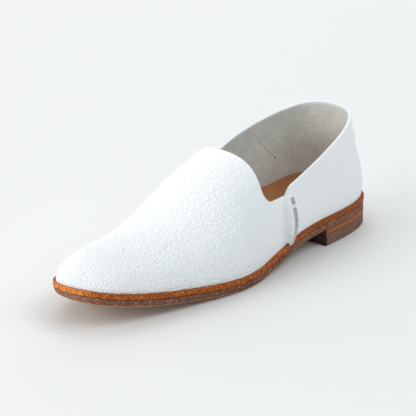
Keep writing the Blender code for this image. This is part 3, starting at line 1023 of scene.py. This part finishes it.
def ring_points(edge, stop=None):
    """Points round an outline, or round its rear as far as a station: as many on either side."""
    sides = []
    for points in two_sides(edge):
        run = run_length(points)
        if stop is None:
            at = run[-1] * 0.5 * (1.0 - np.cos(np.linspace(0.0, np.pi, RING)))
        else:
            at = np.interp(stop, points[:, 0], run) * even_steps(RING)
        sides.append(points_at(points, run, at))
    return np.vstack([sides[0], sides[1][::-1]])


def blurred(seed, rows, count):
    """Repeatable soft random heights of unit size, blurred along the ring."""
    values = np.random.default_rng(seed).normal(size=(rows, count))
    kernel = np.hanning(2 * BLUR_REACH + 3)[1:-1]
    soft = np.array([np.convolve(np.tile(row, 3), kernel, "same")[count:2 * count] for row in values])
    return soft / soft.std()


def section_rows(thick, edge_round, low_round):
    """Inset and height of the rows down a plate's side, with round upper and lower edges."""
    rows = []
    for turn in np.linspace(0.0, np.pi / 2.0, TOP_TURNS):
        rows.append((edge_round * (1.0 - np.sin(turn)), thick - edge_round * (1.0 - np.cos(turn))))
    for share in even_steps(SIDE_ROWS)[1:-1]:
        rows.append((0.0, thick - edge_round - (thick - edge_round - low_round) * share))
    for turn in np.linspace(np.pi / 2.0, 0.0, LOW_TURNS):
        rows.append((low_round * (1.0 - np.sin(turn)), low_round * (1.0 - np.cos(turn))))
    return rows


def tuck_share(outline):
    """One round the front of the toe, falling to nothing along both sides."""
    front = smooth((outline[:, 0] - TUCK_START) / TUCK_LENGTH)
    return front * smooth((TUCK_SIDE - outline[:, 1]) / TUCK_WIDTH)


def plate(name, edge, line, base, thick, edge_round, rough, seed, materials, node,
          stop=None, dish=0.0, rim_rows=0, top_rise=None, tuck=0.0, low_round=None):
    """Flat layer of the sole, its base above a height line, with rounded and slightly rough edges.

    A layer that stops at the heel breast has its second material there, a near-black painted shade.
    """
    bm = bmesh.new()
    rows = section_rows(thick, edge_round, low_round or edge_round)
    uneven = blurred(seed, len(rows), 2 * RING) * rough
    grid = []
    for (inset, height), bumps in zip(rows, uneven):
        in_all = inset + tuck * tuck_share(edge) * (1.0 - height / thick) ** TUCK_POWER
        end = None if stop is None else stop - inset
        deep_end = None if stop is None else end - 1.0
        ring = ring_points(inward(edge, in_all), end)
        out = ring - ring_points(inward(edge, in_all + 1.0), deep_end)
        if 0.0 < height < thick:
            ring = ring + out * np.where(ring[:, 0] < BACK_SMOOTH, 0.0, bumps)[:, None]
        level = line(ring[:, 0]) + base + height
        if top_rise:
            level += top_rise(ring[:, 0]) * height / thick
        grid.append(np.column_stack([ring, level]))
    grid = np.array(grid)
    split = len(rows) - 1 - rim_rows
    low_material = 1 if rim_rows else 0
    add_grid(bm, to_frame(grid[: split + 1]), closed=True)
    if rim_rows:
        add_grid(bm, to_frame(grid[split:]), low_material, closed=True)
    across = even_steps(CAP_COLUMNS)
    for ring, sunk, material in ((grid[0], dish, 0), (grid[-1], 0.0, low_material)):
        lateral = ring[:RING]
        medial = ring[RING:][::-1]
        cap = lateral[:, None, :] + (medial - lateral)[:, None, :] * across[None, :, None]
        wide = np.clip(np.linalg.norm((medial - lateral)[:, :2], axis=1) / DISH_WIDTH, 0.0, 1.0)
        cap[..., 2] -= sunk * wide[:, None] * np.sin(np.pi * across)[None, :]
        add_grid(bm, to_frame(cap), material)
    item = finish_mesh(name, bm, materials, node)
    for face in item.data.polygons:
        if stop and face.normal.x > BREAST_FACING:
            face.material_index = 1


def tube(bm, points, radius):
    """Closed tube along points in the part's frame, narrower at both ends."""
    along = np.gradient(points, axis=0)
    along /= np.linalg.norm(along, axis=1)[:, None]
    sizes = np.full(len(points), radius)
    sizes[[0, -1]] *= TUBE_END
    turn = np.linspace(0.0, 2.0 * np.pi, TUBE_SIDES, endpoint=False)
    rings = []
    for point, way, size in zip(points, along, sizes):
        first = np.cross(way, TUBE_GUIDE)
        first /= np.linalg.norm(first)
        second = np.cross(way, first)
        ring = point + size * (np.cos(turn)[:, None] * first + np.sin(turn)[:, None] * second)
        rings.append([bm.verts.new(p) for p in ring])
    for low, high in zip(rings[:-1], rings[1:]):
        for k in range(TUBE_SIDES):
            n = (k + 1) % TUBE_SIDES
            bm.faces.new((low[k], low[n], high[n], high[k]))
    bm.faces.new(rings[0][::-1])
    bm.faces.new(rings[-1])


# Sole layers
plate("outsole_layer", inward(EDGE, OUTSOLE_INSET), underside, 0.0, OUTSOLE_THICK, edge_round=SOLE_ROUND,
      rough=0.05, seed=11, materials=[COMPOUND, RIM], node="outsole", rim_rows=3,
      tuck=TOE_TUCK, low_round=OUTSOLE_ROUND)
plate("midsole_layer", EDGE, underside, MIDSOLE_BASE, MIDSOLE_THICK, edge_round=SOLE_ROUND,
      rough=0.11, seed=12, materials=[RUST], node="midsole")
plate("heel_lift_layer", inward(EDGE, LIFT_INSET), np.zeros_like, LIFT_BASE, LIFT_THICK,
      edge_round=LIFT_ROUND, rough=0.04, seed=13, materials=[LIFT, BREAST_PAINTED_SHADE],
      node="heel_lift", stop=BREAST_STATION)
plate("heel_top_lift_layer", inward(EDGE, TOP_LIFT_INSET), np.zeros_like, 0.0, LIFT_BASE - SOLE_GAP,
      edge_round=TOP_LIFT_ROUND, rough=0.06, seed=14, materials=[TOP_LIFT, BREAST_PAINTED_SHADE],
      node="heel_top_lift", stop=BREAST_STATION)


# Insole
def insole_outline():
    toe = smooth((FEATHER[:, 0] - (SOLE_LENGTH - INSOLE_TOE_REACH)) / INSOLE_TOE_EASE)
    return inward(FEATHER, WALL + INSOLE_CLEAR + INSOLE_TOE_CLEAR * toe)


def insole_rise(station):
    return spline(*INSOLE_RISE.values(), station)


plate("insole_board", insole_outline(), underside, INSOLE_BASE, INSOLE_THICK, edge_round=INSOLE_ROUND,
      rough=0.0, seed=15, materials=[INSOLE], node="insole", dish=INSOLE_DISH,
      top_rise=insole_rise)


# Upper: the faces beside its top edge have the second material, so that their inner side takes the fourth
TOP_BAND = 1
INNER_OFFSET = 2
CUT_PLACE = 3


def add_upper():
    bm = bmesh.new()
    for side in (1, -1):
        vamp, share = vamp_grid(side)
        quarter, quarter_feet = quarter_grid(side)
        add_grid(bm, to_frame(vamp[1:]))
        add_grid(bm, to_frame(vamp[:2, :WALL_ROWS]))
        add_grid(bm, to_frame(vamp[:2, WALL_ROWS - 1:]), TOP_BAND)
        add_grid(bm, to_frame(quarter[:, :-1]))
        add_grid(bm, to_frame(quarter[:, -2:]), TOP_BAND)
        start = around_at(side, NOTCH_STATION)
        vamp_feet = start + (run_end(side) - start) * share[:, 0]
        for feet in (vamp_feet, quarter_feet):
            margin = [margin_row(side, feet, reach) for reach in (0.0, 0.5 * MARGIN, MARGIN)]
            add_grid(bm, to_frame(np.stack(margin, axis=1)))
    item = finish_mesh("upper_leather", bm, [GRAIN, GRAIN, FLESH, CUT], "upper")
    shell = item.modifiers.new("Wall", "SOLIDIFY")
    shell.thickness = WALL * MM
    shell.offset = -1.0
    shell.use_even_offset = True
    shell.use_quality_normals = True
    shell.material_offset = INNER_OFFSET
    shell.material_offset_rim = INNER_OFFSET
    rounding = item.modifiers.new("Rim", "BEVEL")
    rounding.width = RIM_ROUND * MM
    rounding.segments = RIM_SEGMENTS
    rounding.limit_method = "ANGLE"
    rounding.angle_limit = np.radians(RIM_ANGLE)
    rounding.harden_normals = True
    rounding.material = CUT_PLACE


add_upper()


# Standing side seams
def seam_frame(side, height):
    """Wall point, outward way and way along the wall at the seam, for heights above the floor."""
    middle = around_at(side, SEAM_STATION)
    point, way = wall_point(side, np.full_like(height, middle), height)
    along = wall_point(side, np.full_like(height, middle + 1.0), height)[0] - point
    along /= np.linalg.norm(along, axis=-1)[..., None]
    outward = np.concatenate([-way, np.zeros_like(height)[..., None]], axis=-1)
    return point, outward, along


def seam_heights(side, count):
    middle = around_at(side, SEAM_STATION)
    low = float(feather_height(along_side(side, np.array([middle]))[0, 0])) + SEAM_FOOT_GAP
    return np.linspace(low, SEAM_HEIGHT - SEAM_TOP_DROP, count)


def seam_stretch(side, height):
    low, high = seam_heights(side, 2)
    return spline(*PROUD.values(), (height - low) / (high - low))


def both_halves(half):
    """Distances along and outward of a half section, followed by those of its mirror image."""
    along, out = half.values()
    return np.concatenate([along, -along[::-1]]), np.concatenate([out, out[::-1]])


def add_seam(name, node, side):
    along_rows, out_rows = both_halves(FLANGE)
    height = seam_heights(side, SEAM_ROWS)
    point, outward, along = seam_frame(side, height)
    stand = seam_stretch(side, height)[:, None] * out_rows
    grid = point[:, None] + outward[:, None] * stand[..., None] + along[:, None] * along_rows[:, None]
    share = (height - height[0]) / (height[-1] - height[0])
    near_foot = smooth(1.0 - share / FOOT_SHARE)
    grid[..., 2] -= FOOT_HANG * near_foot[:, None] * smooth((stand - HANG_FROM) / HANG_OVER)
    edge_to = len(along_rows) - 1 - EDGE_FROM
    bm = bmesh.new()
    add_grid(bm, to_frame(grid[:, : EDGE_FROM + 1]))
    add_grid(bm, to_frame(grid[:, EDGE_FROM: edge_to + 1]), 1)
    add_grid(bm, to_frame(grid[:, edge_to:]))
    add_grid(bm, to_frame(grid[:, [-1, 0]]))
    for row in (grid[0], grid[-1]):
        bm.faces.new([bm.verts.new(p) for p in to_frame(row)])
    finish_mesh(name, bm, [GRAIN, SEAM_CUT], node)


def seam_path(side, height, along_by, out_by):
    """Path on a seam: distances along the wall, and outward as they are in the full section."""
    point, outward, along = seam_frame(side, height)
    out = out_by * seam_stretch(side, height)
    return to_frame(point + outward * out[:, None] + along * along_by[:, None])


def add_stitches(name, side):
    """Rows of stitches on both faces of a standing seam, and two thread bars across its cut edge."""
    bm = bmesh.new()
    low, high = seam_heights(side, 2)
    count = int((high - low - STITCH_PITCH) / STITCH_PITCH)
    reach = STITCH_LENGTH * np.linspace(-0.5, 0.5, len(STITCH_LIFT))
    away = FLANGE_HALF + STITCH_RADIUS * np.array(STITCH_LIFT)
    for face in (1.0, -1.0):
        for k in range(count):
            height = low + STITCH_PITCH * (k + STITCH_START) + reach
            tube(bm, seam_path(side, height, face * away, STITCH_OUT), STITCH_RADIUS * MM)
    bar_along, bar_out = both_halves(TACK)
    for drop in (0.0, 2.0 * TACK_RADIUS):
        height = np.full(len(bar_along), high - TACK_DROP - drop)
        tube(bm, seam_path(side, height, bar_along * FLANGE_HALF, bar_out), TACK_RADIUS * MM)
    finish_mesh(name, bm, [THREAD], None)


for seam_name, seam_side in (("lateral", 1), ("medial", -1)):
    add_seam("standing_seam_" + seam_name, "seam_" + seam_name, seam_side)
    add_stitches("seam_stitches_" + seam_name, seam_side)

# Floor, its lengths in metres, light and camera
FLOOR_COLOUR = (0.797, 0.794, 0.789)
FLOOR_SIZE = 12.0
FLOOR_DROP = 0.0002
SKY_STRENGTH = 0.27
WARM = (1.0, 0.985, 0.965)
NEUTRAL = (1.0, 1.0, 0.995)
COOL = (0.93, 0.985, 1.02)

# A light is its name, its direction from the shoe in the camera's own left, up and back,
# its distance, width and height in metres, its power and its colour.
LIGHTS = [
    ("window_front", (1.0, 0.42, 0.6), 1.8, (1.4, 1.0), 18.5, WARM),
    ("window_back", (1.0, 0.3, -0.6), 1.8, (1.4, 1.0), 8.9, WARM),
    ("window_high", (0.8, 1.0, 0.0), 2.0, (1.6, 1.4), 4.0, WARM),
    ("overhead_back", (0.0, 1.0, -0.8), 2.2, (1.8, 1.6), 15.5, NEUTRAL),
    ("overhead_right", (-0.8, 1.0, 0.2), 2.0, (1.6, 1.4), 15.0, COOL),
    ("overhead_front", (0.0, 1.0, 0.8), 2.2, (1.8, 1.6), 5.0, COOL),
    ("reflector_front", (-0.2, 0.25, 1.0), 1.9, (1.6, 0.8), 1.6, COOL),
    ("reflector_back", (-0.2, 0.3, -1.0), 1.9, (1.6, 0.8), 4.8, COOL),
]


def add_floor():
    made = new_material("pale_floor", FLOOR_COLOUR, Roughness=0.7, Specular_IOR_Level=0.1)[0]
    bpy.ops.mesh.primitive_plane_add(size=FLOOR_SIZE, location=(0.0, 0.0, -FLOOR_DROP))
    floor = bpy.context.object
    floor.name = "floor"
    floor.data.materials.append(made)


def camera_axes():
    """Right, up and back of the camera in the shoe's frame."""
    turn = np.radians(CAMERA_TURN)
    rise = np.radians(CAMERA_RISE)
    back = Vector((np.cos(turn) * np.cos(rise), np.sin(turn) * np.cos(rise), np.sin(rise)))
    right = Vector((-np.sin(turn), np.cos(turn), 0.0))
    return right, back.cross(right), back


def add_camera():
    right, up, back = camera_axes()
    place = Vector(CAMERA_AIM) - right * AIM_RIGHT + up * AIM_DOWN + back * CAMERA_FAR
    data = bpy.data.cameras.new("camera")
    data.sensor_width = SENSOR
    data.lens = FRAME_ZOOM * FOCAL_PIXELS / IMAGE_SIDE * SENSOR
    camera = bpy.data.objects.new("camera", data)
    behind = back * FOCAL_PIXELS - right * MIDDLE_RIGHT + up * MIDDLE_DOWN
    camera.rotation_euler = behind.to_track_quat("Z", "Y").to_euler()
    camera.location = to_frame(place)
    bpy.context.scene.collection.objects.link(camera)
    bpy.context.scene.camera = camera


def add_light(name, direction, far, size, power, colour):
    left, up, back = direction
    right_axis, _, back_axis = camera_axes()
    level_back = Vector((back_axis.x, back_axis.y, 0.0)).normalized()
    way = (right_axis * -left + Vector((0.0, 0.0, up)) + level_back * back).normalized()
    data = bpy.data.lights.new(name, "AREA")
    data.shape = "RECTANGLE"
    data.size, data.size_y = size
    data.energy = power
    data.color = colour
    light = bpy.data.objects.new(name, data)
    light.location = way * far
    light.rotation_euler = way.to_track_quat("Z", "Y").to_euler()
    bpy.context.scene.collection.objects.link(light)


def add_world():
    world = bpy.data.worlds.new("studio")
    world.use_nodes = True
    shade = world.node_tree.nodes["Background"]
    shade.inputs["Color"].default_value = (*COOL, 1.0)
    shade.inputs["Strength"].default_value = SKY_STRENGTH
    bpy.context.scene.world = world


add_floor()
add_camera()
for light_row in LIGHTS:
    add_light(*light_row)
add_world()
bpy.context.scene.view_settings.view_transform = "Standard"
